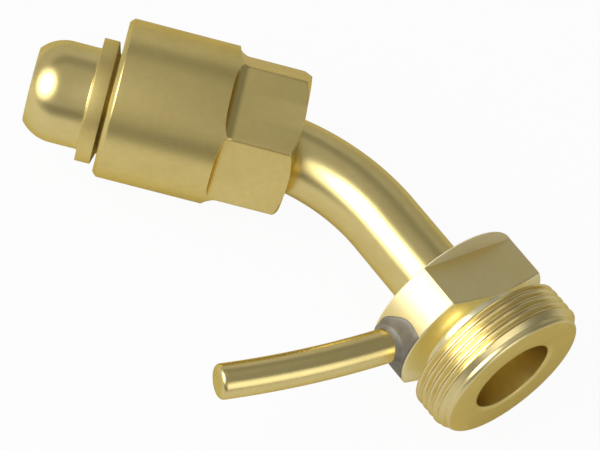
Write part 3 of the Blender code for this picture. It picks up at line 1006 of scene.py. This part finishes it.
@dataclass
class BrazePad(Piece):
    """The thin braze on the barrel round the rod's root."""

    body: ThreadedBody
    rod: StayRod
    spread: float = 6.2 * MM
    from_face: float = 12.8 * MM
    thickness: float = 0.35 * MM
    edge_sunk: float = 0.05 * MM
    sunk: float = 0.6 * MM
    fillet: float = 0.7 * MM
    fillet_limit: float = 1.3
    under_rod: float = 0.3 * MM
    margin: float = 0.15 * MM
    edge_power: int = 6
    waves: tuple[tuple[float, int, float], ...] = ((0.16 * MM, 3, 0.6), (0.1 * MM, 7, 2.0))
    rows: int = 36
    columns: int = 160

    def reach(self, turn: np.ndarray, middle: float) -> np.ndarray:
        """How far the pad reaches from the rod in each direction.

        Its edge is a circle about the place where it was laid, made wavy by two sines and cut off
        just inside the barrel's two ends.

        Args:
            turn: Directions on the barrel, from straight up towards the rear.
            middle: How far behind the end face the rod leaves the barrel.

        Returns:
            The distances.
        """
        wavy = sum(size * np.sin(count * turn + shift) for size, count, shift in self.waves)
        spread = self.spread + wavy
        along, away = np.sin(turn), middle - self.from_face
        circle = -away * along + np.sqrt(spread**2 - (away * np.cos(turn)) ** 2)
        behind = self.body.length - self.margin - middle
        ahead = middle - self.body.barrel_front - self.margin
        room = np.where(along > 0, behind, ahead)
        least_sine = 1e-3
        return np.minimum(circle, room / np.maximum(np.abs(along), least_sine))

    def build(self) -> None:
        """Lay a polar grid round the rod: the barrel's surface plus a thickness.

        The thickness is nearly even and falls as sqrt(1 - share^power) to the pad's edge. Close to
        the rod a fillet, (1 - distance / fillet)^2, climbs its side. The under side lies inside the
        barrel.
        """
        turn = np.linspace(0, TAU, self.columns, endpoint=False)
        share = np.linspace(0, 1, self.rows)[:, None]
        middle = self.rod.from_face + self.body.barrel_radius * math.tan(self.rod.lean)
        inner = self.rod.radius - self.under_rod
        distance = inner + share * (self.reach(turn, middle) - inner)
        v = distance * np.cos(turn)
        u = middle + distance * np.sin(turn)
        height = np.sqrt(self.body.barrel_radius**2 - v**2)
        fade = np.sqrt(1 - share**self.edge_power)
        climb = np.clip(1 - (distance - self.rod.radius) / self.fillet, 0, self.fillet_limit) ** 2
        thick = (self.thickness + self.edge_sunk) * fade - self.edge_sunk + self.fillet * climb
        axis = self.body.axis
        out = np.cross(axis.along, UP)
        plane = axis.origin - u[..., None] * axis.along + v[..., None] * UP
        upper = plane + (height + thick)[..., None] * out
        under = plane + (height - self.sunk)[..., None] * out
        grid = np.concatenate((upper, under[::-1]))
        uv = np.stack((np.broadcast_to(turn, grid.shape[:2]), np.zeros(grid.shape[:2])), -1)
        obj = skin("rod_braze_pad", grid, uv, np.zeros(len(grid), int), [BRAZE])
        self.fit(obj, "rod_braze", "fitting", "silver_braze")


def plain_piece(node: str, finish: Finish) -> None:
    """Give a CAD node that keeps its own shape a finish.

    Args:
        node: The node's name.
        finish: The finish.
    """
    obj = frame["nodes"][node]
    obj.data.materials.clear()
    obj.data.materials.append(material_of(finish))
    log.info("%s: its own shape, %s", node, finish.name)


# Studio


@dataclass(frozen=True)
class Lamp:
    """A round diffuser a metre from the fitting, facing it.

    Its direction is in degrees from +X towards +Y, its height in degrees above the level, and its
    glow is the brightness of its face, where 1 is white.
    """

    name: str
    turn: float
    rise: float
    size: tuple[float, float]
    glow: float
    aim_height: float = 15 * MM

    def hang(self) -> None:
        """Hang the diffuser. Its power is pi times its area times its glow."""
        data = bpy.data.lights.new(self.name, "AREA")
        data.shape = "ELLIPSE"
        data.size, data.size_y = self.size
        data.energy = self.glow * math.pi**2 / 4 * self.size[0] * self.size[1]
        turn, rise = math.radians(self.turn), math.radians(self.rise)
        level = math.cos(rise)
        away = Vector((level * math.cos(turn), level * math.sin(turn), math.sin(rise)))
        obj = bpy.data.objects.new(self.name, data)
        obj.location = away + Vector((0, 0, self.aim_height))
        obj.rotation_euler = (-away).to_track_quat("-Z", "Y").to_euler()
        bpy.context.scene.collection.objects.link(obj)


@dataclass(frozen=True)
class Band:
    """A dark band of the room: its height and reach, where along y it comes in, and its depth."""

    height: float
    reach: float
    begins: float
    full: float
    depth: float

    def shade(self, y: Value, z: Value) -> Value:
        """How much the band takes from the room's brightness in a direction."""
        return z.bump(self.height, self.reach) * y.between(self.begins, self.full) * self.depth


LAMPS = (
    Lamp("left_diffuser", turn=-157, rise=36, size=(0.8, 0.8), glow=3.6),
    Lamp("left_halo", turn=-157, rise=34, size=(1.3, 1.15), glow=0.9),
    Lamp("front_diffuser", turn=-42, rise=17, size=(0.45, 0.5), glow=1.3),
    Lamp("front_halo", turn=-42, rise=17, size=(0.85, 0.85), glow=0.8),
)
HIGH_BAND = Band(height=0.78, reach=0.17, begins=0.0, full=0.4, depth=0.22)
LOW_BAND = Band(height=0.13, reach=0.17, begins=-0.4, full=-0.9, depth=0.25)


@dataclass
class Studio:
    """The photograph's camera, a white floor and plain soft light."""

    nose_tip: np.ndarray
    focal_pixels: float = 2700.0
    eye: tuple[float, float, float] = (13.95 * MM, -298.6 * MM, 340.9 * MM)
    right: tuple[float, float, float] = (0.9658, 0.1425, 0.2167)
    down: tuple[float, float, float] = (0.2473, -0.7573, -0.6044)
    clip: tuple[float, float] = (0.01, 20.0)
    floor_half: float = 2.5
    floor_colour: Colour = (0.68, 0.68, 0.68)
    floor_seen: float = 0.95
    floor_mirrored: float = 0.27
    front_starts: float = -50 * MM
    front_full: float = -150 * MM
    front_mirrored: float = 0.55
    front_dimmed: float = 0.8
    room: float = 0.44
    right_dimmed: float = 0.28
    back_lifted: float = 0.09

    def camera(self) -> None:
        """Stand the camera where the photograph's edges put it."""
        data = bpy.data.cameras.new("camera")
        data.sensor_width = 36.0
        data.lens = self.focal_pixels / PHOTO_WIDTH * data.sensor_width
        data.clip_start, data.clip_end = self.clip
        right = Vector(self.right).normalized()
        up = -Vector(self.down)
        up = (up - up.project(right)).normalized()
        turn = Matrix((right, up, right.cross(up))).transposed().to_4x4()
        obj = bpy.data.objects.new("camera", data)
        obj.matrix_world = Matrix.Translation(Vector(self.nose_tip) + Vector(self.eye)) @ turn
        bpy.context.scene.collection.objects.link(obj)
        bpy.context.scene.camera = obj

    def floor(self) -> None:
        """Lay a pale floor that the camera sees as white, apart from the fitting's shadow.

        Metal sees part of that white, and a dimmer floor towards the front.
        """
        mesh = bpy.data.meshes.new("floor")
        half = self.floor_half
        corners = [(-half, -half, 0), (half, -half, 0), (half, half, 0), (-half, half, 0)]
        mesh.from_pydata(corners, [], [(0, 1, 2, 3)])
        obj = bpy.data.objects.new("floor", mesh)
        bpy.context.scene.collection.objects.link(obj)
        material, graph = new_material("white_floor")
        path = graph.node("ShaderNodeLightPath", {})
        rays = ("Is Camera Ray", "Is Glossy Ray", "Is Transmission Ray")
        camera, glossy, through = (Value(graph, path.outputs[ray]) for ray in rays)
        _, y, _ = graph.parts(graph.place())
        front = y.between(self.front_starts, self.front_full) * (1.0 - camera)
        mirrored = self.floor_mirrored + front * self.front_mirrored
        seen = camera * self.floor_seen + (glossy + through) * mirrored
        pale = graph.node("ShaderNodeBsdfDiffuse", {}, (*self.floor_colour, 1))
        white = graph.node("ShaderNodeEmission", {}, (1, 1, 1, 1), 1.0 - front * self.front_dimmed)
        mix = graph.node("ShaderNodeMixShader", {}, seen, pale.outputs[0], white.outputs[0])
        graph.node("ShaderNodeOutputMaterial", {}, mix.outputs[0])
        mesh.materials.append(material)

    def light(self) -> None:
        """Light the fitting from a grey room and from round diffusers.

        The room is darker on its +X side, slightly lighter on its +Y side, and has a dark band high
        at the back and another low at the front. The camera sees it as white.
        """
        world = bpy.data.worlds.new("room")
        bpy.context.scene.world = world
        world.use_nodes = True
        graph = Graph(world.node_tree)
        camera = Value(graph, graph.node("ShaderNodeLightPath", {}).outputs["Is Camera Ray"])
        x, y, z = graph.parts(graph.node("ShaderNodeTexCoord", {}).outputs["Generated"])
        sides = y.between(0.0, 1.0) * self.back_lifted - x.between(0.0, 1.0) * self.right_dimmed
        wall = sides + self.room - HIGH_BAND.shade(y, z) - LOW_BAND.shade(y, z)
        seen = wall + camera * (1.0 - wall)
        room = graph.node("ShaderNodeBackground", {}, (1, 1, 1, 1), seen)
        graph.node("ShaderNodeOutputWorld", {}, room.outputs[0])
        for lamp in LAMPS:
            lamp.hang()

    def build(self) -> None:
        """Set up the camera, the floor and the light."""
        self.camera()
        self.floor()
        self.light()
        bpy.context.scene.view_settings.view_transform = "Standard"


def row_named(rows: list[dict[str, Any]], name: str) -> dict[str, Any]:
    """The row that has a name."""
    return next(row for row in rows if row["name"] == name)


def main() -> None:
    """Build every piece on its CAD node, dress what stays, and set up the studio."""
    logging.basicConfig(level=logging.INFO, format="%(name)s %(message)s")
    low, high = (np.array(corner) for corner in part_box("bullet_nipple"))
    middle = (low + high) / 2
    nose = Axis(np.array((low[0], middle[1], middle[2])), np.array((-1.0, 0.0, 0.0)))
    face = row_named(frame["record"]["mounts"], "outlet_face")
    outlet = Axis(np.array((*face["pos_m"][:2], middle[2])), np.array(face["axis"]))
    spin = row_named(frame["joints"], "nut_spin")
    nut_axis = Axis(np.array(spin["pos_m"]), np.array(spin["axis"], float))
    body, rod = ThreadedBody(outlet), StayRod(outlet)
    tube, pad = BentTube(nose, outlet), BrazePad(body, rod)
    for piece in (Nipple(nose), UnionNut(nut_axis), tube, body, rod, pad):
        piece.build()
    plain_piece("thrust_washer", TURNED)
    plain_piece("nipple_braze_ring", BRAZE)
    plain_piece("body_braze_ring", BRAZE)
    Studio(nose.origin).build()


if __name__ == "__main__":
    main()
